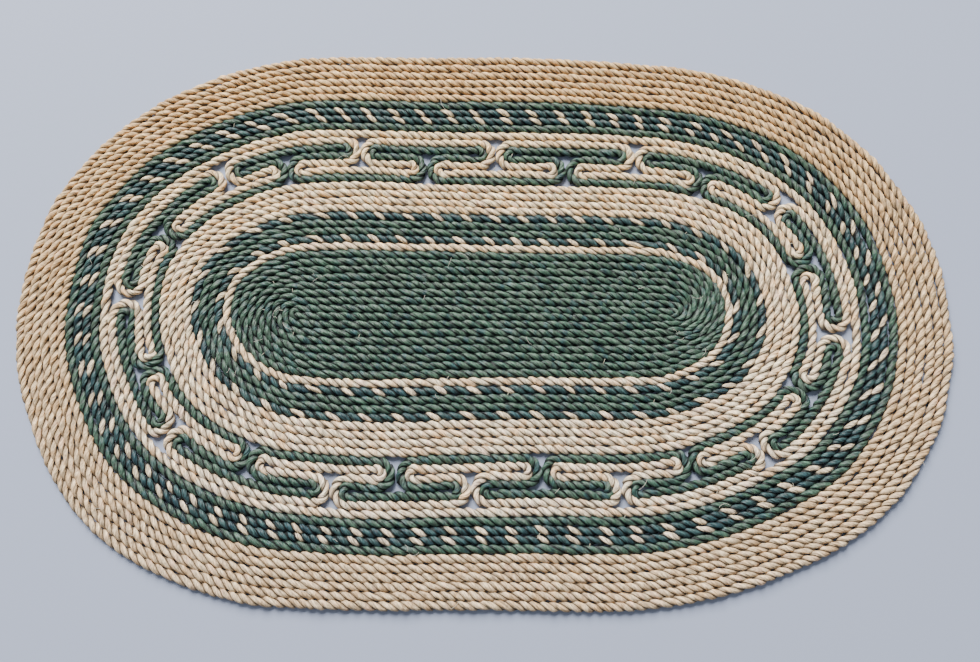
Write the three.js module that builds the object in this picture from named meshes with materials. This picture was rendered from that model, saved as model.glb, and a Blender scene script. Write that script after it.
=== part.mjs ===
// Oval floor rug of twisted plant-fibre cord, its rounds laid side by side and sewn edge to edge.
// A key band of one cream and one green cord runs round it between plain and checked rounds.
// Millimetres, +Z up. The underside lies on z = 0, the long way runs along X, the middle is the origin.
import * as THREE from 'three';
import { mergeVertices } from 'three/addons/utils/BufferGeometryUtils.js';

// Driving dimensions
const cordPitch = 7.2; // from one row of cord to the next
const crestHeight = 6.2; // top of a cord, which is sewn and trodden a little flat
const grooveHeight = 4.2; // bottom of the groove between two rows
const sewnGap = 0.3; // between one sub-part and the next
const turnSlack = 0.05; // taken off each side of the key band's cords, which turn tightly
const coreHalf = 155; // half of the straight run in the middle of the rug
const endSteps = 16; // facets round each rounded end
const sideSteps = 4; // facets along each straight side
const turnSteps = 5; // facets round each turn of the key band
const middleShift = { x: -6.2, y: -1.5 }; // the inner rounds lie this far off the middle
const innerCrowd = -2.1; // the rounds half way out lie this much further in
const eyePull = 14; // the innermost round reaches this much further, so the rounds crowd at its +X end
const keyRows = 6; // rows of cord across the key band
const weldDistance = 0.001; // corners closer than this are one corner

// Rounds from the middle of the rug to its edge, and how many rows of cord each has
const bands = [
  { name: 'centre_coil', rows: 8, dye: 'green' },
  { name: 'inner_cream_round', rows: 1, dye: 'undyed' },
  { name: 'inner_check_round', rows: 1, dye: 'mixed' },
  { name: 'inner_green_rounds', rows: 2, dye: 'green' },
  { name: 'middle_check_round', rows: 1, dye: 'mixed' },
  { name: 'middle_cream_rounds', rows: 4, dye: 'undyed' },
  { name: 'key_band', rows: keyRows },
  { name: 'outer_cream_round', rows: 1, dye: 'undyed' },
  { name: 'outer_green_round', rows: 1, dye: 'green' },
  { name: 'outer_check_rounds', rows: 2, dye: 'mixed' },
  { name: 'edge_green_round', rows: 1, dye: 'green' },
  { name: 'border_rounds', rows: 6, dye: 'aged' },
];

// Cord colours, all a dry matt fibre
const dyes = {
  undyed: { color: '#dcc4a4', roughness: 0.8 },
  aged: { color: '#cfae84', roughness: 0.82 },
  green: { color: '#4b6a5b', roughness: 0.72 },
  mixed: { color: '#4d6f74', roughness: 0.74 },
};

// Places round the rug are given along its key line, clockwise from the left end of the top side
const bandStart = new Map();
let rowsSoFar = 0;
for (const band of bands) {
  bandStart.set(band.name, rowsSoFar);
  rowsSoFar += band.rows;
}
const rimRadius = rowsSoFar * cordPitch;
const coilRadius = bands[0].rows * cordPitch;
const keyStart = bandStart.get('key_band');
const keyLine = (keyStart + keyRows / 2) * cordPitch;
const sideRun = 2 * coreHalf;
const endRun = Math.PI * keyLine;
const wholeRun = 2 * (sideRun + endRun);

// Where the sewn rug is drawn in or swells out at its edge, and over what length
const unevenness = [
  { along: 200, out: -2.0, spread: 60 },
  { along: 350, out: -10.0, spread: 72 },
  { along: 707, out: -12.2, spread: 72 },
  { along: 950, out: -1.8, spread: 45 },
  { along: 1109, out: -3.6, spread: 60 },
  { along: 1240, out: -2.4, spread: 30 },
  { along: 1360, out: 3.0, spread: 32 },
  { along: 1480, out: -4.0, spread: 62 },
];

// The same half way out, where the rounds are sewn a little to one side
const innerUnevenness = [
  { along: 210, out: -2.0, spread: 90 },
  { along: 720, out: 1.2, spread: 90 },
  { along: 1000, out: 3.6, spread: 80 },
  { along: 1170, out: -4.1, spread: 90 },
  { along: 1450, out: -2.1, spread: 70 },
];

// Places of the key band's turns: the pairs that back on its outer and on its inner side
const keyTurns = [
  { outer: 46, inner: 108 },
  { outer: 169, inner: 232 },
  { outer: 293, inner: 358 },
  { outer: 430, inner: 488 },
  { outer: 552, inner: 609 },
  { outer: 677, inner: 741 },
  { outer: 799, inner: 865 },
  { outer: 923, inner: 984 },
  { outer: 1037, inner: 1109 },
  { outer: 1183, inner: 1242 },
  { outer: 1309, inner: 1373 },
  { outer: 1449, inner: 1506 },
];
const turnClear = 14.7; // from the middle of such a pair to the centre of each turn

// Rows of the key band that each of its cords keeps to, counted from the middle of the rug
const keyCords = [
  { name: 'key_cord_green', lowRow: 1, middleRow: 4, topRow: 5, dye: 'green' },
  { name: 'key_cord_cream', lowRow: 2, middleRow: 3, topRow: 6, dye: 'undyed' },
];

// Shape of the oval
function swellAt(along, places) {
  let out = 0;
  for (const place of places) {
    const ahead = THREE.MathUtils.euclideanModulo(along - place.along, wholeRun);
    const away = Math.min(ahead, wholeRun - ahead);
    out += place.out * Math.exp(-((away / place.spread) ** 2));
  }
  return out;
}

function ovalPoint(along, radius) {
  const run = THREE.MathUtils.euclideanModulo(along, wholeRun);
  const lower = run >= sideRun + endRun;
  const half = lower ? run - sideRun - endRun : run;
  const flip = lower ? -1 : 1;
  const turned = Math.max(0, half - sideRun) / keyLine;
  const share = radius / rimRadius;
  const halfWayOut = Math.sin(Math.PI * share);
  const edgeSwell = swellAt(run, unevenness) * Math.sqrt(share);
  const reach = radius + edgeSwell + (innerCrowd + swellAt(run, innerUnevenness)) * halfWayOut;
  const x = flip * (Math.min(half, sideRun) - coreHalf + reach * Math.sin(turned));
  const y = flip * reach * Math.cos(turned);
  const crowd = eyePull * Math.max(0, 1 - radius / coilRadius);
  const crowded = crowd * THREE.MathUtils.clamp(x / coreHalf, 0, 1);
  const shifted = 1 - share ** 3;
  return new THREE.Vector2(x + middleShift.x * shifted + crowded, y + middleShift.y * shifted);
}

// Stations where every sub-part has a corner, so that neighbours stay parallel
const stations = [];
for (const start of [0, sideRun + endRun]) {
  for (let step = 0; step < sideSteps; step += 1) {
    stations.push(start + (step / sideSteps) * sideRun);
  }
  for (let step = 0; step < endSteps; step += 1) {
    stations.push(start + sideRun + (step / endSteps) * endRun);
  }
}

// Any place on the rug, on the straight facet between its two stations
function facetPoint(along, radius) {
  const run = THREE.MathUtils.euclideanModulo(along, wholeRun);
  let last = stations.length - 1;
  while (stations[last] > run) {
    last -= 1;
  }
  const from = stations[last];
  const to = last + 1 < stations.length ? stations[last + 1] : wholeRun;
  return ovalPoint(from, radius).lerp(ovalPoint(to, radius), (run - from) / (to - from));
}

// Closed body of a section carried round a loop: place(step, u) gives the point at u across the section
function loopBody(section, stepCount, place) {
  const lathe = new THREE.LatheGeometry(section, stepCount);
  lathe.deleteAttribute('normal');
  lathe.deleteAttribute('uv');
  const position = lathe.getAttribute('position');
  for (let i = 0; i < position.count; i += 1) {
    const corner = section[i % section.length];
    const step = Math.floor(i / section.length) % stepCount;
    const point = place(step, corner.x);
    position.setXYZ(i, point.x, point.y, corner.y);
  }
  const merged = mergeVertices(lathe, weldDistance);
  const corners = merged.getIndex();
  const kept = [];
  for (let i = 0; i < corners.count; i += 3) {
    const [a, b, c] = [corners.getX(i), corners.getX(i + 1), corners.getX(i + 2)];
    if (a !== b && b !== c && c !== a) {
      kept.push(a, b, c);
    }
  }
  merged.setIndex(kept);
  merged.computeVertexNormals();
  return merged;
}

// Section of a band of rows: flat below, with a rounded ridge for each row of cord on top
function bandSection(firstRow, rows) {
  const inner = firstRow * cordPitch;
  const outer = (firstRow + rows) * cordPitch - sewnGap / 2;
  const start = firstRow === 0 ? 0 : inner + sewnGap / 2;
  const section = [new THREE.Vector2(start, grooveHeight)];
  for (let row = 0; row < rows; row += 1) {
    section.push(new THREE.Vector2(inner + (row + 0.5) * cordPitch, crestHeight));
    if (row < rows - 1) {
      section.push(new THREE.Vector2(inner + (row + 1) * cordPitch, grooveHeight));
    }
  }
  section.push(new THREE.Vector2(outer, grooveHeight));
  section.push(new THREE.Vector2(outer, 0));
  section.push(new THREE.Vector2(start, 0));
  if (firstRow > 0) {
    section.push(section[0].clone());
  }
  return section;
}

function bandBody(band) {
  const section = bandSection(bandStart.get(band.name), band.rows);
  return loopBody(section, stations.length, (step, radius) => ovalPoint(stations[step], radius));
}

// Section of one cord of the key band, across its own line
function cordSection() {
  const half = (cordPitch - sewnGap) / 2 - turnSlack;
  return [
    new THREE.Vector2(-half, grooveHeight),
    new THREE.Vector2(0, crestHeight),
    new THREE.Vector2(half, grooveHeight),
    new THREE.Vector2(half, 0),
    new THREE.Vector2(-half, 0),
    new THREE.Vector2(-half, grooveHeight),
  ];
}

// A run along the rows adds a corner at each station it passes; heading is 1 clockwise, -1 back
function addRun(line, startTurn, endTurn, radius) {
  const heading = Math.sign(endTurn.along - startTurn.along);
  const from = startTurn.along - heading * startTurn.lead;
  const to = endTurn.along + heading * endTurn.lead;
  const passed = [];
  for (const lap of [-1, 0, 1]) {
    for (const station of stations) {
      const along = station + lap * wholeRun;
      if ((along - from) * heading > 0 && (to - along) * heading > 0) {
        passed.push(along);
      }
    }
  }
  passed.sort((a, b) => (a - b) * heading);
  for (const along of passed) {
    line.push((u) => facetPoint(along, radius + heading * u));
  }
}

// A half turn of the key band: lead is how far the straight run goes on past its centre
const turnAngle = Math.PI / turnSteps;

function keyTurn(along, radius, bend) {
  const middle = THREE.MathUtils.euclideanModulo(along, sideRun + endRun);
  const stretch = middle > sideRun ? keyLine / radius : 1;
  return { along, radius, bend, stretch, lead: bend * Math.tan(turnAngle / 2) * stretch };
}

// side is 1 where the turn bulges clockwise, sense is 1 where it goes from the outer row inwards
function addTurn(line, turn, side, sense) {
  const mitre = 1 / Math.cos(turnAngle / 2);
  for (let step = 0; step < turnSteps; step += 1) {
    const angle = sense * (Math.PI / 2 - (step + 0.5) * turnAngle);
    line.push((u) => {
      const reach = (turn.bend + side * sense * u) * mitre;
      const along = turn.along + side * turn.stretch * reach * Math.cos(angle);
      return facetPoint(along, turn.radius + reach * Math.sin(angle));
    });
  }
}

// A cord of the key band: along its top row, back along its middle row, along its low row, and so on
function keyCordBody(cord) {
  const rowRadius = (row) => (keyStart + row - 0.5) * cordPitch;
  const top = rowRadius(cord.topRow);
  const middle = rowRadius(cord.middleRow);
  const low = rowRadius(cord.lowRow);
  const outerCentre = (top + middle) / 2;
  const innerCentre = (middle + low) / 2;
  const outerBend = (top - middle) / 2;
  const innerBend = (middle - low) / 2;
  const line = [];
  keyTurns.forEach((turn, index) => {
    const lap = index + 1 < keyTurns.length ? 0 : wholeRun;
    const next = keyTurns[(index + 1) % keyTurns.length];
    const topStart = keyTurn(turn.outer + turnClear, outerCentre, outerBend);
    const topEnd = keyTurn(next.outer + lap - turnClear, outerCentre, outerBend);
    const lowStart = keyTurn(turn.inner + turnClear, innerCentre, innerBend);
    const lowEnd = keyTurn(next.inner + lap - turnClear, innerCentre, innerBend);
    const topNext = keyTurn(next.outer + lap + turnClear, outerCentre, outerBend);
    addRun(line, topStart, topEnd, top);
    addTurn(line, topEnd, 1, 1);
    addRun(line, topEnd, lowStart, middle);
    addTurn(line, lowStart, -1, 1);
    addRun(line, lowStart, lowEnd, low);
    addTurn(line, lowEnd, 1, -1);
    addRun(line, lowEnd, topNext, middle);
    addTurn(line, topNext, -1, -1);
  });
  return loopBody(cordSection(), line.length, (step, u) => line[step](u));
}

// The rug
const rug = new THREE.Group();

function addPart(name, geometry, dye) {
  const material = new THREE.MeshStandardMaterial({ ...dyes[dye], metalness: 0 });
  const mesh = new THREE.Mesh(geometry, material);
  mesh.name = name;
  rug.add(mesh);
}

for (const band of bands) {
  if (band.name !== 'key_band') {
    addPart(band.name, bandBody(band), band.dye);
  }
}
for (const cord of keyCords) {
  addPart(cord.name, keyCordBody(cord), cord.dye);
}

export default rug;
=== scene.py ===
# Oval floor rug of twisted plant-fibre cord, every row of cord modelled with its three plies.
import math
import random

import bmesh
import bpy
import numpy as np
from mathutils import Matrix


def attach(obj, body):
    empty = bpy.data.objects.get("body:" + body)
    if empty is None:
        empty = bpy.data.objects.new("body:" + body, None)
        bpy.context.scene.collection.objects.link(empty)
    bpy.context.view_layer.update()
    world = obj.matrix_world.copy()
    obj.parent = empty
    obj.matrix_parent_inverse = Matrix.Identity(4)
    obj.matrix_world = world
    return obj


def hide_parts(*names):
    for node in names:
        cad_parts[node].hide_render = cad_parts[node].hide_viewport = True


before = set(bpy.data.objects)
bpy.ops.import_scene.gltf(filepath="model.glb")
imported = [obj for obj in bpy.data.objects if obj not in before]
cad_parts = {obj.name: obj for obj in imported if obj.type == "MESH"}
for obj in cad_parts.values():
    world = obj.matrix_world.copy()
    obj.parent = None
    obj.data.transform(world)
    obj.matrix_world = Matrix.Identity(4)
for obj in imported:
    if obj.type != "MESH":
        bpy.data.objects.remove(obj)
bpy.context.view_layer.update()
print("frame loaded")


# Camera, looking down from the front at the photograph's angle
camera = dict(
    place=(0.0057, -0.1782, 0.6669),
    tiltDeg=13.627,  # away from straight down
    turnDeg=0.342,
    focalPixels=800,
    imageWidth=980,
    sensor=36,
)


def makeCamera():
    data = bpy.data.cameras.new("rugCamera")
    data.sensor_fit = "HORIZONTAL"
    data.sensor_width = camera["sensor"]
    data.lens = camera["focalPixels"] / camera["imageWidth"] * camera["sensor"]
    data.clip_start = 0.01
    eye = bpy.data.objects.new("rugCamera", data)
    eye.location = camera["place"]
    eye.rotation_euler = (math.radians(camera["tiltDeg"]), 0, math.radians(camera["turnDeg"]))
    bpy.context.collection.objects.link(eye)
    bpy.context.scene.camera = eye


makeCamera()


# Shape of the rug, in metres; places round it are measured along its key line, clockwise from the
# left end of the top side
rug = dict(
    pitch=0.0072,  # from one row of cord to the next
    rows=34,  # from the middle to the rim
    keyRow=20,  # the key line runs this many rows out
    coreHalf=0.155,  # half of the straight middle
    middleShift=(-0.0062, -0.0015),  # the inner rounds lie off the middle
    innerCrowd=-0.0021,  # and half way out they lie further in
    coilRows=8,
    eyePull=0.014,  # the coil's rounds crowd at their right end
    lineStep=0.0015,
)
unevenness = [
    dict(along=0.200, out=-0.0020, spread=0.060),
    dict(along=0.350, out=-0.0100, spread=0.072),
    dict(along=0.707, out=-0.0122, spread=0.072),
    dict(along=0.950, out=-0.0018, spread=0.045),
    dict(along=1.109, out=-0.0036, spread=0.060),
    dict(along=1.240, out=-0.0024, spread=0.030),
    dict(along=1.360, out=0.0030, spread=0.032),
    dict(along=1.480, out=-0.0040, spread=0.062),
]
innerUnevenness = [  # the same half way out
    dict(along=0.210, out=-0.0020, spread=0.090),
    dict(along=0.720, out=0.0012, spread=0.090),
    dict(along=1.000, out=0.0036, spread=0.080),
    dict(along=1.170, out=-0.0041, spread=0.090),
    dict(along=1.450, out=-0.0021, spread=0.070),
]
rimRadius = rug["rows"] * rug["pitch"]
keyLine = rug["keyRow"] * rug["pitch"]
sideRun = 2 * rug["coreHalf"]
halfRun = sideRun + math.pi * keyLine
wholeRun = 2 * halfRun


def swellAt(run, spots):
    out = np.zeros_like(run)
    for spot in spots:
        ahead = (run - spot["along"]) % wholeRun
        away = np.minimum(ahead, wholeRun - ahead)
        out += spot["out"] * np.exp(-((away / spot["spread"]) ** 2))
    return out


def ovalPoint(along, radius):
    run = np.asarray(along, float) % wholeRun
    lower = run >= halfRun
    half = np.where(lower, run - halfRun, run)
    flip = np.where(lower, -1.0, 1.0)
    turned = np.maximum(0, half - sideRun) / keyLine
    share = radius / rimRadius
    inner = rug["innerCrowd"] + swellAt(run, innerUnevenness)
    reach = radius + swellAt(run, unevenness) * np.sqrt(share) + inner * np.sin(math.pi * share)
    x = flip * (np.minimum(half, sideRun) - rug["coreHalf"] + reach * np.sin(turned))
    y = flip * reach * np.cos(turned)
    crowd = rug["eyePull"] * max(0, 1 - radius / (rug["coilRows"] * rug["pitch"]))
    x = x + crowd * np.clip(x / rug["coreHalf"], 0, 1)
    return np.stack([x, y], axis=-1) + np.multiply.outer(1 - share ** 3, rug["middleShift"])


# The key band: its turns back on each other in pairs, on its outer and on its inner side
keyTurns = [
    dict(outer=0.046, inner=0.108),
    dict(outer=0.169, inner=0.232),
    dict(outer=0.293, inner=0.358),
    dict(outer=0.430, inner=0.488),
    dict(outer=0.552, inner=0.609),
    dict(outer=0.677, inner=0.741),
    dict(outer=0.799, inner=0.865),
    dict(outer=0.923, inner=0.984),
    dict(outer=1.037, inner=1.109),
    dict(outer=1.183, inner=1.242),
    dict(outer=1.309, inner=1.373),
    dict(outer=1.449, inner=1.506),
]
keyBand = dict(
    firstRow=17,
    rows=6,
    turnClear=0.0143,  # from the middle of a pair to the centre of each turn
    turnPoints=24,
    runStep=0.002,
    eyeOpen=0.0013,  # inside the tight turns the cord leaves a small eye
    eyeLength=0.009,
)


def addRun(line, start, end, radius, leanStart, leanEnd):
    count = max(2, int(abs(end - start) / keyBand["runStep"]))
    for along in np.linspace(start, end, count, endpoint=False)[1:]:
        lean = leanStart * math.exp(-(((along - start) / keyBand["eyeLength"]) ** 2))
        lean += leanEnd * math.exp(-(((along - end) / keyBand["eyeLength"]) ** 2))
        line.append((along, radius + lean))


def addTurn(line, along, radius, bend, side, sense):
    stretch = keyLine / radius if along % halfRun > sideRun else 1
    for angle in np.linspace(math.pi / 2, -math.pi / 2, keyBand["turnPoints"]):
        around = sense * angle
        line.append((along + side * stretch * bend * math.cos(around), radius + bend * math.sin(around)))


def keyCordLine(lowRow, middleRow, topRow):
    firstRadius = (keyBand["firstRow"] - 0.5) * rug["pitch"]
    low, middle, top = [firstRadius + row * rug["pitch"] for row in (lowRow, middleRow, topRow)]
    outerEye = keyBand["eyeOpen"] if topRow - middleRow == 1 else 0
    innerEye = keyBand["eyeOpen"] if middleRow - lowRow == 1 else 0
    outer = (top + middle) / 2, (top - middle) / 2 + outerEye
    inner = (middle + low) / 2, (middle - low) / 2 + innerEye
    clear = keyBand["turnClear"]
    line = []
    for index, turn in enumerate(keyTurns):
        follower = keyTurns[(index + 1) % len(keyTurns)]
        lap = 0 if index + 1 < len(keyTurns) else wholeRun
        topStart = turn["outer"] + clear + outerEye
        topEnd = follower["outer"] + lap - clear - outerEye
        lowStart = turn["inner"] + clear + innerEye
        lowEnd = follower["inner"] + lap - clear - innerEye
        topNext = follower["outer"] + lap + clear + outerEye
        addRun(line, topStart, topEnd, top, outerEye, outerEye)
        addTurn(line, topEnd, *outer, 1, 1)
        addRun(line, topEnd, lowStart, middle, -outerEye, innerEye)
        addTurn(line, lowStart, *inner, -1, 1)
        addRun(line, lowStart, lowEnd, low, -innerEye, -innerEye)
        addTurn(line, lowEnd, *inner, 1, -1)
        addRun(line, lowEnd, topNext, middle, innerEye, -outerEye)
        addTurn(line, topNext, *outer, -1, -1)
    return np.array([(*ovalPoint(along, radius), along) for along, radius in line])


def roundLine(row):
    # centre line of one round, counted from the middle
    along = np.arange(0, wholeRun, rug["lineStep"])
    return np.column_stack([ovalPoint(along, (row + 0.5) * rug["pitch"]), along])


# The cord: three soft plies laid right-handed, squeezed against each other and pressed on the floor
cord = dict(
    radius=0.0043,  # wider than the rows lie apart, because neighbours press into each other's grooves
    plyRadius=0.0027,  # the curve of one ply's back
    grooveDepth=0.0006,  # sharp, past where the ply backs meet
    acrossPly=(-60, -46, -16, 16, 46),  # degrees round the cord, from groove to groove
    lay=0.026,  # length of one full twist
    stepsPerTwist=13,
    upperHeight=0.86,
    lowerHeight=0.40,
    lowerWidth=0.33,
    lowerBend=0.5,  # the width goes this steeply over to the lower one
    lowerRelief=0.0,  # the underside is worn smoother
    sideRelief=0.7,  # towards the neighbours the plies draw in
    crossing=0.12,  # the plies run more across on top and more along the sides
    centreHeight=0.0023,
    ownWander=0.00025,  # how far each row strays by itself
    ownWaves=(0.03, 0.12),  # over these lengths, as in the other pairs below
    layChange=0.5,  # radians that the twist runs ahead or behind
    layWaves=(0.05, 0.2),
    markedShare=0.4,  # less where the twist is tied to marks
    lift=0.0003,
    liftWaves=(0.03, 0.1),
    sizeChange=0.04,
    sizeWaves=(0.02, 0.08),
    plyChange=0.07,
    plyWaves=(0.012, 0.05),
    stripChange=0.03,  # the leaf strips in a ply stand a little proud or sink
    stripWaves=(0.007, 0.02),
)
wave = dict(parts=5, scale=2.2)
wander = dict(  # how far neighbouring rows stray together
    out=0.0011,
    waves=(0.07, 0.22),
    parts=7,
    scale=2.6,
    seed=11,
)
plyPoints = len(cord["acrossPly"])
sectionPoints = 3 * plyPoints


def cordProfile():
    # a round section with its points where the plies need them
    data = bpy.data.curves.new("cordProfile", "CURVE")
    data.dimensions = "2D"
    ring = data.splines.new("POLY")
    ring.points.add(sectionPoints - 1)
    for index, point in enumerate(ring.points):
        turned = 120 * (index // plyPoints) + cord["acrossPly"][index % plyPoints]
        angle = -math.radians(turned)  # clockwise, so that the faces point outwards
        point.co = (cord["radius"] * math.cos(angle), cord["radius"] * math.sin(angle), 0, 1)
    ring.use_cyclic_u = True
    profile = bpy.data.objects.new("cordProfile", data)
    bpy.context.collection.objects.link(profile)
    return profile


profile = cordProfile()


def closedWave(share, length, dice, waves):
    # smooth unevenness along a closed line, mostly between -1 and 1
    total = np.zeros_like(share)
    for part in range(wave["parts"]):
        laps = max(1, round(length / dice.uniform(*waves)))
        total += np.sin(2 * math.pi * (laps * share + dice.random()))
    return total / wave["scale"]


def strayTogether(points):
    # the same push for points that lie close together, whatever their row
    dice = random.Random(wander["seed"])
    stray = np.zeros_like(points)
    for part in range(wander["parts"]):
        angle = dice.uniform(0, 6.28)
        length = dice.uniform(*wander["waves"])
        phase = 2 * math.pi * (points[:, 0] * math.cos(angle) + points[:, 1] * math.sin(angle)) / length
        push = dice.uniform(0, 6.28)
        swing = np.sin(phase + dice.uniform(0, 6.28))
        stray += np.stack([math.cos(push) * swing, math.sin(push) * swing], axis=-1)
    return stray * wander["out"] / wander["scale"]


def twistCount(along, marks, turns):
    # full twists so far, from the places where the undyed ply comes up
    before = (marks[-1][0] - wholeRun, marks[-1][1] - turns)
    after = (marks[0][0] + wholeRun, marks[0][1] + turns)
    places, counts = zip(before, *marks, after)
    return np.interp(along, places, counts)


def layOut(line, facts, number, dice):
    # even steps along one closed cord, with its small unevenness
    closed = np.vstack([line, line[:1] + (0, 0, wholeRun)])
    distance = np.concatenate([[0], np.cumsum(np.hypot(*np.diff(closed[:, :2], axis=0).T))])
    length = distance[-1]
    turns = round(length / facts.get("lay", cord["lay"]))
    if "twists" in facts:
        turns = facts["twists"][number]
    count = turns * cord["stepsPerTwist"]
    share = np.arange(count) / count
    x, y, along = [np.interp(share * length, distance, column) for column in closed.T]
    place = np.stack([x, y], axis=-1)
    ahead = np.roll(place, -1, axis=0) - np.roll(place, 1, axis=0)
    sideways = np.stack([-ahead[:, 1], ahead[:, 0]], axis=-1) / np.hypot(*ahead.T)[:, None]
    own = closedWave(share, length, dice, cord["ownWaves"])[:, None] * cord["ownWander"]
    twist = turns * share + dice.random()
    change = cord["layChange"] * closedWave(share, length, dice, cord["layWaves"])
    if "marks" in facts:
        twist = twistCount(along, facts["marks"][number], turns)
        change *= cord["markedShare"]
    lift = cord["lift"] * closedWave(share, length, dice, cord["liftWaves"])
    growth = cord["sizeChange"] * closedWave(share, length, dice, cord["sizeWaves"])
    swells = [closedWave(share, length, dice, cord["plyWaves"]) for ply in range(3)]
    strips = [closedWave(share, length, dice, cord["stripWaves"]) for strip in range(sectionPoints)]
    return dict(
        length=length,
        share=share,
        sideways=sideways,
        place=place + strayTogether(place) + sideways * own,
        height=cord["centreHeight"] + lift,
        twist=2 * math.pi * twist + change,
        size=1 + growth,
        swell=np.stack(swells, axis=-1),
        strips=np.stack(strips, axis=-1),
        uvStart=(dice.uniform(0, 40), 3 * dice.randrange(20)),  # so that no two cords look alike
    )


def cordPiece(facts, lines, seed):
    # one object of closed twisted cords along the given centre lines
    dice = random.Random(seed)
    laid = [layOut(line, facts, number, dice) for number, line in enumerate(lines)]
    name = facts["piece"]
    data = bpy.data.curves.new(name, "CURVE")
    data.dimensions = "3D"
    data.twist_mode = "Z_UP"
    data.bevel_mode = "OBJECT"
    data.bevel_object = profile
    for run in laid:
        spline = data.splines.new("POLY")
        spline.points.add(len(run["share"]) - 1)
        place = np.column_stack([run["place"], run["height"], np.ones(len(run["share"]))])
        spline.points.foreach_set("co", place.ravel())
        spline.points.foreach_set("tilt", run["twist"])
        spline.points.foreach_set("radius", run["size"])
        spline.use_cyclic_u = True
    source = bpy.data.objects.new(name + "Curve", data)
    bpy.context.collection.objects.link(source)
    mesh = bpy.data.meshes.new_from_object(source.evaluated_get(bpy.context.evaluated_depsgraph_get()))
    bpy.data.objects.remove(source)
    mesh.name = name
    shapePlies(mesh, laid)
    markPlies(mesh, laid)
    piece = bpy.data.objects.new(name, mesh)
    bpy.context.collection.objects.link(piece)
    return piece


def shapePlies(mesh, laid):
    # sink the grooves between the plies, swell the plies unevenly and press the cord flatter
    place = np.empty(len(mesh.vertices) * 3)
    mesh.vertices.foreach_get("co", place)
    place = place.reshape(-1, sectionPoints, 3)
    middle = np.concatenate([np.column_stack([run["place"], run["height"]]) for run in laid])[:, None, :]
    offset = place - middle
    upward = offset[..., 2] / np.linalg.norm(offset, axis=-1)
    turned = np.radians(np.array(cord["acrossPly"] * 3))
    inward = cord["radius"] - cord["plyRadius"]
    back = inward * np.cos(turned) + np.sqrt(cord["plyRadius"] ** 2 - (inward * np.sin(turned)) ** 2)
    groove = np.arange(sectionPoints) % plyPoints == 0
    sunk = (cord["radius"] - back + cord["grooveDepth"] * groove) / cord["radius"]
    relief = 1 - (1 - cord["lowerRelief"]) * np.maximum(0, -upward)
    relief *= 1 + cord["sideRelief"] * (1 - upward ** 2)
    swell = np.repeat(np.concatenate([run["swell"] for run in laid]), plyPoints, axis=1)
    strips = np.concatenate([run["strips"] for run in laid])
    uneven = cord["plyChange"] * swell * ~groove + cord["stripChange"] * strips
    offset *= (1 + uneven - sunk * relief)[..., None]
    offset[..., 2] *= np.where(upward > 0, cord["upperHeight"], cord["lowerHeight"])
    sideways = np.concatenate([run["sideways"] for run in laid])[:, None, :]
    beside = (offset[..., :2] * sideways).sum(axis=-1) / np.linalg.norm(offset, axis=-1)
    drawnIn = np.clip(-upward / cord["lowerBend"], 0, 1)
    offset[..., :2] *= (1 - (1 - cord["lowerWidth"]) * drawnIn)[..., None]
    shift = cord["crossing"] * cord["lay"] / (2 * math.pi) * 2 * beside * upward
    offset[..., 0] += shift * sideways[..., 1]
    offset[..., 1] -= shift * sideways[..., 0]
    place = middle + offset
    place[..., 2] = np.maximum(place[..., 2], 0)
    mesh.vertices.foreach_set("co", place.ravel())


def markPlies(mesh, laid):
    # U is metres along the cord, V counts plies; the grooves between plies stay crisp
    corner = np.empty(len(mesh.loops) * 2)
    mesh.uv_layers[0].data.foreach_get("uv", corner)
    corner = corner.reshape(-1, 2)
    start = 0
    for run in laid:
        stop = start + 4 * len(run["share"]) * sectionPoints
        corner[start:stop, 0] = corner[start:stop, 0] * run["length"] + run["uvStart"][0]
        corner[start:stop, 1] = (1 - corner[start:stop, 1]) * 3 + run["uvStart"][1]
        start = stop
    mesh.uv_layers[0].data.foreach_set("uv", corner.ravel())
    mesh.uv_layers[0].name = "cordUV"
    ends = np.empty(len(mesh.edges) * 2, int)
    mesh.edges.foreach_get("vertices", ends)
    ends = ends.reshape(-1, 2) % sectionPoints
    sharp = mesh.attributes.new("sharp_edge", "BOOLEAN", "EDGE")
    sharp.data.foreach_set("value", (ends[:, 0] == ends[:, 1]) & (ends[:, 0] % plyPoints == 0))
    mesh.polygons.foreach_set("use_smooth", np.ones(len(mesh.polygons), bool))
    mesh.update()


# Materials
def linear(hexColour, alpha=1.0):
    # sRGB hex to Blender's linear colour
    out = []
    for start in (1, 3, 5):
        value = int(hexColour[start:start + 2], 16) / 255
        out.append(value / 12.92 if value <= 0.04045 else ((value + 0.055) / 1.055) ** 2.4)
    return (*out, alpha)


def addNode(tree, kind, settings=None, *values, **inputs):
    # values fill the node's sockets in order, inputs go by socket name; a node stands for its output
    node = tree.nodes.new(kind)
    for key, value in (settings or {}).items():
        setattr(node, key, value)
    shown = [socket for socket in node.inputs if socket.enabled]
    named = [(node.inputs[key], value) for key, value in inputs.items()]
    for socket, value in [*zip(shown, values), *named]:
        if isinstance(value, bpy.types.Node):
            value = next(output for output in value.outputs if output.enabled)
        if isinstance(value, bpy.types.NodeSocket):
            tree.links.new(value, socket)
        else:
            socket.default_value = value
    return node


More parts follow.
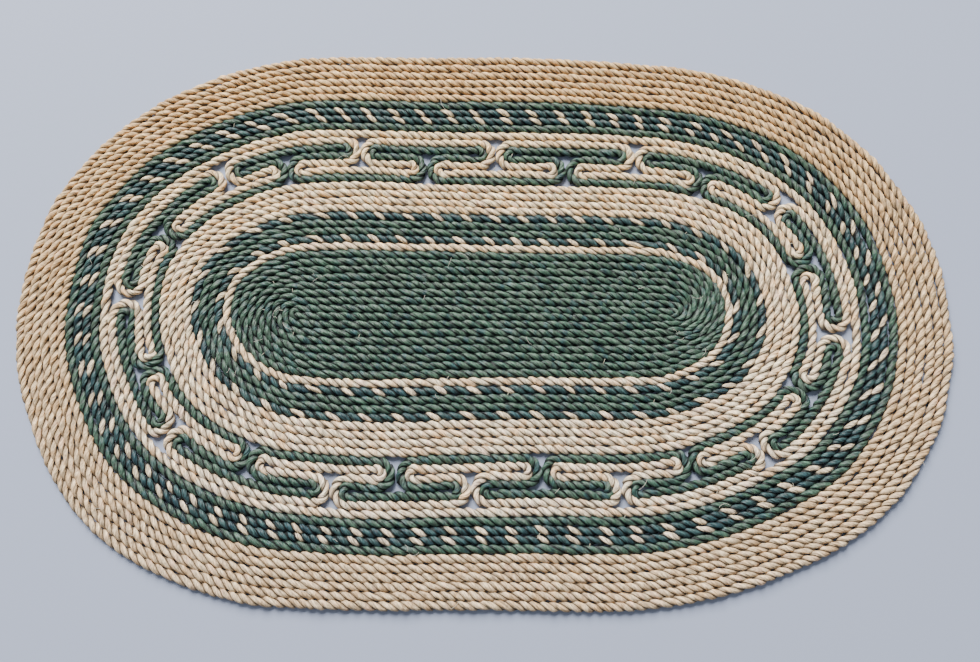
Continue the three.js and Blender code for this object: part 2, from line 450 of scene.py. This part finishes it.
def addFibres(tree, along, around, ply):
    # noises that run along the plies; real fibres are a tenth of a millimetre wide, and these are
    # drawn as strands of a millimetre or two so that they show
    noises = {}
    rough = fibre["roughness"]
    for name, (length, width, detail) in fibre["noises"].items():
        rowWise = addNode(tree, "ShaderNodeMath", dict(operation="MULTIPLY"), along, 1 / length)
        acrossIt = addNode(tree, "ShaderNodeMath", dict(operation="MULTIPLY"), around, plyWidth / width)
        spot = addNode(tree, "ShaderNodeCombineXYZ", None, rowWise, acrossIt)
        noises[name] = addNode(
            tree, "ShaderNodeTexNoise", None, spot, Scale=1.0, Detail=detail, Roughness=rough,
        )
    rowWise = addNode(tree, "ShaderNodeMath", dict(operation="MULTIPLY"), along, 1 / fibre["patchLength"])
    acrossIt = addNode(tree, "ShaderNodeMath", dict(operation="MULTIPLY"), ply, fibre["plyJump"])
    spot = addNode(tree, "ShaderNodeCombineXYZ", None, rowWise, acrossIt)
    patch = addNode(tree, "ShaderNodeTexNoise", None, spot, Scale=1.0, Detail=2.0, Roughness=rough)
    return noises, addNode(tree, "ShaderNodeSeparateColor", None, patch.outputs[1])


def cordMaterial(name, look):
    # Dry leaf fibre laid by hand: long fine streaks along each ply, every few millimetres another
    # tint, and dust and painted shade where the plies and rows meet
    material = bpy.data.materials.new(name)
    material.use_nodes = True
    tree = material.node_tree
    tree.nodes.clear()
    rgb = dict(data_type="RGBA")
    uv = addNode(tree, "ShaderNodeUVMap", dict(uv_map="cordUV"))
    part = addNode(tree, "ShaderNodeSeparateXYZ", None, uv)
    along, around = part.outputs[0], part.outputs[1]
    ply = addNode(tree, "ShaderNodeMath", dict(operation="FLOOR"), around)
    noises, patch = addFibres(tree, along, around, ply)

    # tints go lighter and darker from piece to piece of leaf, and along the fibres
    ramps = []
    for kind in ("tints", "plyTints"):
        if kind in look:
            ramps.append(addNode(tree, "ShaderNodeValToRGB", None, patch.outputs[0]))
            stops = ramps[-1].color_ramp.elements
            last = len(look[kind]) - 1
            for index, tint in enumerate(look[kind]):
                at = fibre["tintFrom"] + (fibre["tintTo"] - fibre["tintFrom"]) * index / last
                stop = stops[0] if index == 0 else stops[-1] if index == last else stops.new(at)
                stop.position = at
                stop.color = linear(tint)
    colour = ramps[0]
    if "plyTints" in look:  # one undyed ply among the dyed ones
        third = addNode(tree, "ShaderNodeMath", dict(operation="MODULO"), ply, 3.0)
        undyed = addNode(tree, "ShaderNodeMath", dict(operation="LESS_THAN"), third, 0.5)
        colour = addNode(tree, "ShaderNodeMix", rgb, undyed, *ramps)
    tone = 1 - look["tone"], 1 + look["tone"]
    shade = addNode(tree, "ShaderNodeMapRange", None, patch.outputs[1], *fibre["toneSpan"], *tone)
    for kind in fibre["noises"]:
        swing = 1 - look[kind], 1 + look[kind]
        change = addNode(tree, "ShaderNodeMapRange", None, noises[kind], *fibre["noiseSpan"], *swing)
        shade = addNode(tree, "ShaderNodeMath", dict(operation="MULTIPLY"), shade, change)
    streaked = addNode(tree, "ShaderNodeVectorMath", dict(operation="SCALE"), colour, shade)

    # the colour goes warmer towards the far long side, and the border has two old stains
    place = addNode(tree, "ShaderNodeTexCoord").outputs["Object"]
    part = addNode(tree, "ShaderNodeSeparateXYZ", None, place)
    far = addNode(tree, "ShaderNodeMapRange", None, part.outputs[1], *fibre["farSpan"])
    tint = addNode(tree, "ShaderNodeMix", rgb, far, linear(look["nearTint"]), linear(look["farTint"]))
    product = dict(data_type="RGBA", blend_type="MULTIPLY")
    worn = addNode(tree, "ShaderNodeMix", product, 1.0, streaked, tint)
    for stain in look.get("stains", []):
        away = addNode(tree, "ShaderNodeVectorMath", dict(operation="DISTANCE"), place, stain["place"])
        ragged = addNode(tree, "ShaderNodeMapRange", None, noises["streak"], 0.2, 0.8, -0.003, 0.003)
        reach = addNode(tree, "ShaderNodeMath", dict(operation="ADD"), away, ragged)
        rim, core = stain["radius"], stain["radius"] / 4
        depth = addNode(tree, "ShaderNodeMapRange", None, reach, rim, core, 0.0, stain["depth"])
        worn = addNode(tree, "ShaderNodeMix", rgb, depth, worn, linear(stain["colour"]))

    # painted shade: the lower and the nearer the groove, first greyer, partly dust and partly painted
    # shade, then darker with painted shade
    inPly = addNode(tree, "ShaderNodeMath", dict(operation="FRACT"), around)
    offMiddle = addNode(tree, "ShaderNodeMath", dict(operation="SUBTRACT"), inPly, 0.5)
    aside = addNode(tree, "ShaderNodeMath", dict(operation="ABSOLUTE"), offMiddle)
    fall = look["paintedShadeSlope"]
    multiplyAdd = dict(operation="MULTIPLY_ADD")
    below = addNode(tree, "ShaderNodeMath", multiplyAdd, part.outputs[2], -fall, fibre["crest"] * fall)
    ragged = addNode(tree, "ShaderNodeMapRange", None, noises["streak"], 0.3, 0.7, -0.1, 0.1)
    cavity = addNode(tree, "ShaderNodeMath", dict(operation="ADD"), aside, below)
    cavity = addNode(tree, "ShaderNodeMath", dict(operation="ADD"), cavity, ragged)
    # a greyer tint in the crevices, partly dust and partly painted shade
    dustAndShadeSpan = look["dustAndShadeFrom"], look["paintedShadeTo"]
    dustAndShade = addNode(tree, "ShaderNodeMapRange", None, cavity, *dustAndShadeSpan, 0.0, look["dustAndShade"])
    dustyAndShaded = addNode(tree, "ShaderNodeMix", rgb, dustAndShade, worn, linear(look["dustAndShadeColour"]))
    # painted shade: the crevices and low sides go dark brown or near black, for the pale cords less so
    # towards the far long side
    smooth = dict(interpolation_type="SMOOTHSTEP")
    paintedShadeSpan = look["paintedShadeFrom"], look["paintedShadeTo"]
    groove = addNode(tree, "ShaderNodeMapRange", smooth, cavity, *paintedShadeSpan, 0.0, look["paintedShadeDark"])
    faded = addNode(tree, "ShaderNodeMapRange", None, far, 0.0, 1.0, 1.0, look["paintedShadeFar"])
    groove = addNode(tree, "ShaderNodeMath", dict(operation="MULTIPLY"), groove, faded)
    withPaintedShade = addNode(tree, "ShaderNodeMix", rgb, groove, dustyAndShaded, linear(look["paintedShadeColour"]))

    relief = addNode(tree, "ShaderNodeMath", multiplyAdd, noises["strip"], 1.5, noises["streak"])
    bump = addNode(tree, "ShaderNodeBump", Height=relief, Strength=look["bump"], Distance=fibre["relief"])
    shader = addNode(tree, "ShaderNodeBsdfPrincipled", None, withPaintedShade, Normal=bump)
    shader.inputs["Roughness"].default_value = look["roughness"]
    shader.inputs["Sheen Weight"].default_value = look["sheen"]
    shader.inputs["Specular IOR Level"].default_value = look["specular"]
    addNode(tree, "ShaderNodeOutputMaterial", None, shader)
    return material


plyWidth = 2 * math.pi * cord["radius"] / 3
fibre = dict(
    noises=dict(  # length, width and detail
        streak=(0.006, 0.0015, 2.0),
        strip=(0.011, 0.0026, 1.0),
        fleck=(0.0016, 0.0011, 1.0),
    ),
    roughness=0.55,  # of the noises
    patchLength=0.012,  # a leaf tint lasts about this far
    plyJump=7.3,  # so that neighbouring plies have tints of their own
    tintFrom=0.34,  # the middle of a noise, where nearly all its values lie
    tintTo=0.66,
    toneSpan=(0.35, 0.65),
    noiseSpan=(0.33, 0.67),
    farSpan=(-0.2, 0.2),  # from the near to the far long side
    crest=0.006,  # height of the plies' backs
    relief=0.0012,
)
# Each look sets two crevice colours: a grey one, partly dust and partly painted shade, and a dark brown
# or near black one that is painted shade; their spans and strengths say where and how strongly they are
# painted
looks = dict(
    undyed=dict(
        tints=["#f0c793", "#f9d9ac", "#fbeac4", "#f8d8b8"],
        tone=0.15, streak=0.6, strip=0.10, fleck=0.22,
        nearTint="#f4f5ff", farTint="#fff4e0",
        dustAndShadeFrom=0.2, dustAndShade=0.8, dustAndShadeColour="#9d8f7e",
        paintedShadeSlope=115.0, paintedShadeFrom=0.42, paintedShadeTo=0.60,
        paintedShadeDark=0.86, paintedShadeFar=0.65, paintedShadeColour="#413326",
        bump=0.7, roughness=0.62, sheen=0.02, specular=0.3,
    ),
    aged=dict(
        tints=["#c7a477", "#d9b98e", "#e5cba1", "#dcb892"],
        tone=0.13, streak=0.5, strip=0.10, fleck=0.22,
        nearTint="#fafaff", farTint="#fff0d8",
        dustAndShadeFrom=0.2, dustAndShade=0.7, dustAndShadeColour="#8d7a65",
        stains=[
            dict(place=(0.366, 0.097, 0.005), radius=0.012, depth=0.5, colour="#66523d"),
            dict(place=(-0.072, 0.211, 0.005), radius=0.009, depth=0.5, colour="#786f61"),
        ],
        paintedShadeSlope=105.0, paintedShadeFrom=0.42, paintedShadeTo=0.62,
        paintedShadeDark=0.84, paintedShadeFar=0.8, paintedShadeColour="#3b2b1a",
        bump=0.7, roughness=0.62, sheen=0.02, specular=0.3,
    ),
    green=dict(
        tints=["#2a4443", "#334d40", "#425a48", "#4a594c", "#3f5753"],
        tone=0.2, streak=0.65, strip=0.16, fleck=0.3,
        nearTint="#f8fbff", farTint="#fdfdf4",
        dustAndShadeFrom=0.35, dustAndShade=0.3, dustAndShadeColour="#2a372e",
        paintedShadeSlope=100.0, paintedShadeFrom=0.35, paintedShadeTo=0.51,
        paintedShadeDark=0.97, paintedShadeFar=1.0, paintedShadeColour="#020705",
        bump=0.8, roughness=0.5, sheen=0.04, specular=0.4,
    ),
    mixed=dict(
        tints=["#20383e", "#294345", "#334b48", "#2c4545"], plyTints=["#d0b792", "#e0c9a7", "#dbc0a5"],
        tone=0.2, streak=0.65, strip=0.14, fleck=0.3,
        nearTint="#f8fbff", farTint="#fdfdf4",
        dustAndShadeFrom=0.35, dustAndShade=0.3, dustAndShadeColour="#2a372e",
        paintedShadeSlope=140.0, paintedShadeFrom=0.35, paintedShadeTo=0.53,
        paintedShadeDark=0.97, paintedShadeFar=1.0, paintedShadeColour="#020707",
        bump=0.8, roughness=0.5, sheen=0.04, specular=0.4,
    ),
)
materials = {name: cordMaterial(name + "PlantFibre", look) for name, look in looks.items()}
print("materials made")


# The rounds, from the middle to the rim
bands = [
    dict(
        piece="centreCoilCord", node="centre_coil", rows=8, lay=0.031,
        dye="green", slot="green_cord",
    ),
    dict(
        piece="innerCreamCord", node="inner_cream_round", rows=1, lay=0.028,
        dye="undyed", slot="undyed_cord",
    ),
    dict(
        piece="innerCheckCord", node="inner_check_round", rows=1,
        dye="mixed", slot="mixed_cord",
        twists=(39,),
        marks=(
            (
                (0.012, 0), (0.285, 11), (0.339, 12), (0.758, 19),
                (1.050, 30), (1.084, 31), (1.322, 35), (1.487, 38),
            ),
        ),
    ),
    dict(
        piece="innerGreenCord", node="inner_green_rounds", rows=2, lay=0.031,
        dye="green", slot="green_cord",
    ),
    dict(
        piece="middleCheckCord", node="middle_check_round", rows=1,
        dye="mixed", slot="mixed_cord",
        twists=(42,),
        marks=(
            (
                (0.016, 0), (0.292, 11), (0.325, 12), (0.747, 21),
                (0.779, 22), (1.064, 32), (1.107, 33), (1.494, 41),
            ),
        ),
    ),
    dict(
        piece="middleCreamCord", node="middle_cream_rounds", rows=4, lay=0.0275,
        dye="undyed", slot="undyed_cord",
    ),
    dict(piece="keyBand", rows=keyBand["rows"]),
    dict(
        piece="outerCreamCord", node="outer_cream_round", rows=1, lay=0.028,
        dye="undyed", slot="undyed_cord",
    ),
    dict(
        piece="outerGreenCord", node="outer_green_round", rows=1, lay=0.0275,
        dye="green", slot="green_cord",
    ),
    dict(
        piece="outerCheckCord", node="outer_check_rounds", rows=2,
        dye="mixed", slot="mixed_cord",
        twists=(70, 68),  # the undyed plies of the two rows keep company most of the way
        marks=(
            ((0.005, 0), (0.298, 12), (0.548, 25), (0.763, 35), (1.063, 47), (1.171, 53), (1.508, 69)),
            ((0.022, 0), (0.296, 11), (0.539, 22), (0.762, 32), (1.041, 43), (1.176, 50), (1.499, 66)),
        ),
    ),
    dict(
        piece="edgeGreenCord", node="edge_green_round", rows=1, lay=0.031,
        dye="green", slot="green_cord",
    ),
    dict(
        piece="borderCord", node="border_rounds", rows=6, lay=0.0273,
        dye="aged", slot="aged_cord",
    ),
]
keyCords = [
    dict(piece="keyCordGreen", node="key_cord_green", rows=(1, 4, 5), dye="green", slot="green_cord"),
    dict(piece="keyCordCream", node="key_cord_cream", rows=(2, 3, 6), dye="undyed", slot="undyed_cord"),
]


def finishCord(facts, lines, seed):
    piece = cordPiece(facts, lines, seed)
    piece.data.materials.append(materials[facts["dye"]])
    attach(piece, "root")
    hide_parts(facts["node"])
    return piece


def flatSize(lines):
    # how wide and long the band of cords lies, side by side
    lengths = [np.hypot(*(line - np.roll(line, 1, axis=0))[:, :2].T).sum() for line in lines]
    return (len(lines) * rug["pitch"], sum(lengths) / len(lines))


flats = {}
firstRow = 0
keySeed = 50  # the rounds have the seeds below it
for number, band in enumerate(bands):
    if "node" in band:
        lines = [roundLine(firstRow + row) for row in range(band["rows"])]
        finishCord(band, lines, number)
        flats[band["piece"]] = flatSize(lines)
    firstRow += band["rows"]
for number, key in enumerate(keyCords):
    lines = [keyCordLine(*key["rows"])]
    finishCord(key, lines, keySeed + number)
    flats[key["piece"]] = flatSize(lines)
for name, flat in flats.items():
    print("cord in", name, round(flat[0] / rug["pitch"]) * flat[1], "m")

bpy.data.objects.remove(profile)
print("cords laid")


# Thin things on the cords: stray fibres that stand out of the plies, and stitches of sewing thread
# that show between the rows
strayFibre = dict(
    piece="strayFibres",
    count=70,
    shortest=0.004,
    longest=0.013,
    thickness=0.00022,
    foot=0.0054,  # height of its ends, just inside a ply's back
    lift=0.0012,
    curl=2.2,  # radians to either side
    steps=7,
    colour="#ece4d2",
)
stitch = dict(
    piece="sewingStitches",
    count=45,
    reach=0.0032,
    slant=0.002,
    thickness=0.0005,
    top=0.0049,
    sink=0.0016,
    steps=6,
    colour="#c4bca6",
)
thinSeed = 77


def hairPiece(name, lines, thickness, material):
    data = bpy.data.curves.new(name, "CURVE")
    data.dimensions = "3D"
    data.bevel_depth = thickness / 2
    data.bevel_resolution = 0
    data.use_fill_caps = True
    for line in lines:
        spline = data.splines.new("POLY")
        spline.points.add(len(line) - 1)
        for point, place in zip(spline.points, line):
            point.co = (*place, 1)
    source = bpy.data.objects.new(name + "Curve", data)
    bpy.context.collection.objects.link(source)
    mesh = bpy.data.meshes.new_from_object(source.evaluated_get(bpy.context.evaluated_depsgraph_get()))
    bpy.data.objects.remove(source)
    mesh.name = name
    mesh.materials.clear()
    mesh.materials.append(material)
    piece = bpy.data.objects.new(name, mesh)
    bpy.context.collection.objects.link(piece)
    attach(piece, "root")
    return piece


def strayFibreLine(dice):
    along = dice.uniform(0, wholeRun)
    row = dice.uniform(1, rug["rows"] - 0.6)
    x, y = ovalPoint(along, row * rug["pitch"])
    length = dice.uniform(strayFibre["shortest"], strayFibre["longest"])
    heading = dice.uniform(0, 2 * math.pi)
    curl = dice.uniform(-strayFibre["curl"], strayFibre["curl"])
    rise = dice.uniform(0.4, 1.0) * strayFibre["lift"]
    line = []
    steps = strayFibre["steps"]
    for step in range(steps + 1):
        share = step / steps
        line.append((x, y, strayFibre["foot"] + rise * math.sin(math.pi * min(1, 1.1 * share))))
        angle = heading + curl * share
        x += length / steps * math.cos(angle)
        y += length / steps * math.sin(angle)
    return line


def stitchLine(dice):
    along = dice.uniform(0, wholeRun)
    radius = dice.randrange(2, rug["rows"]) * rug["pitch"]
    slant = dice.uniform(0.4, 1.0) * stitch["slant"]
    line = []
    for step in range(stitch["steps"] + 1):
        share = 2 * step / stitch["steps"] - 1
        x, y = ovalPoint(along + slant * share, radius + stitch["reach"] * share)
        line.append((x, y, stitch["top"] - stitch["sink"] * share ** 2))
    return line


def threadMaterial(name, colour, roughness):
    # fine spun plant fibre, pale and nearly matt; its twist is too fine to show
    material = bpy.data.materials.new(name)
    material.use_nodes = True
    tree = material.node_tree
    shader = tree.nodes["Principled BSDF"]
    place = addNode(tree, "ShaderNodeTexCoord").outputs["Object"]
    spots = addNode(tree, "ShaderNodeTexNoise", Vector=place, Scale=400.0, Detail=2.0)
    tint = addNode(tree, "ShaderNodeMapRange", None, spots, 0.3, 0.7, 0.75, 1.1)
    shaded = addNode(tree, "ShaderNodeVectorMath", dict(operation="SCALE"), linear(colour)[:3], tint)
    tree.links.new(shaded.outputs[0], shader.inputs["Base Color"])
    shader.inputs["Roughness"].default_value = roughness
    return material


dice = random.Random(thinSeed)
strays = [strayFibreLine(dice) for number in range(strayFibre["count"])]
leafFibre = threadMaterial("strayLeafFibre", strayFibre["colour"], 0.5)
hairPiece(strayFibre["piece"], strays, strayFibre["thickness"], leafFibre)
stitches = [stitchLine(dice) for number in range(stitch["count"])]
thread = threadMaterial("spunSewingThread", stitch["colour"], 0.6)
hairPiece(stitch["piece"], stitches, stitch["thickness"], thread)
print("fibres and stitches added")


# Floor and studio light
studio = dict(
    floorSize=6.0,
    floorDepth=0.0002,  # clear of the cords that lie on it
    floorRoughness=0.8,
    floorColour="#a2aabf",
    lightPlace=(-1.2, 3.55, 3.0),
    lightSize=2.9,
    lightPower=704,
    skyColour="#dfe6f0",
    skyStrength=0.44,
)


def makeFloor():
    form = bmesh.new()
    bmesh.ops.create_grid(form, x_segments=1, y_segments=1, size=studio["floorSize"] / 2)
    bmesh.ops.translate(form, vec=(0, 0, -studio["floorDepth"]), verts=form.verts)
    mesh = bpy.data.meshes.new("studioFloor")
    form.to_mesh(mesh)
    form.free()
    floor = bpy.data.objects.new("studioFloor", mesh)
    bpy.context.collection.objects.link(floor)
    material = bpy.data.materials.new("paleMattFloor")
    material.use_nodes = True
    shader = material.node_tree.nodes["Principled BSDF"]
    shader.inputs["Base Color"].default_value = linear(studio["floorColour"])
    shader.inputs["Roughness"].default_value = studio["floorRoughness"]
    mesh.materials.append(material)


def makeLights():
    data = bpy.data.lights.new("softLight", "AREA")
    data.size = studio["lightSize"]
    data.energy = studio["lightPower"]
    lamp = bpy.data.objects.new("softLight", data)
    lamp.location = studio["lightPlace"]
    x, y, z = studio["lightPlace"]
    lamp.rotation_euler = (-math.atan2(math.hypot(x, y), z), 0, math.atan2(-x, y))
    bpy.context.collection.objects.link(lamp)
    world = bpy.data.worlds.new("softSky")
    world.use_nodes = True
    sky = world.node_tree.nodes["Background"]
    sky.inputs[0].default_value = linear(studio["skyColour"])
    sky.inputs[1].default_value = studio["skyStrength"]
    bpy.context.scene.world = world


makeFloor()
makeLights()
print("studio set")
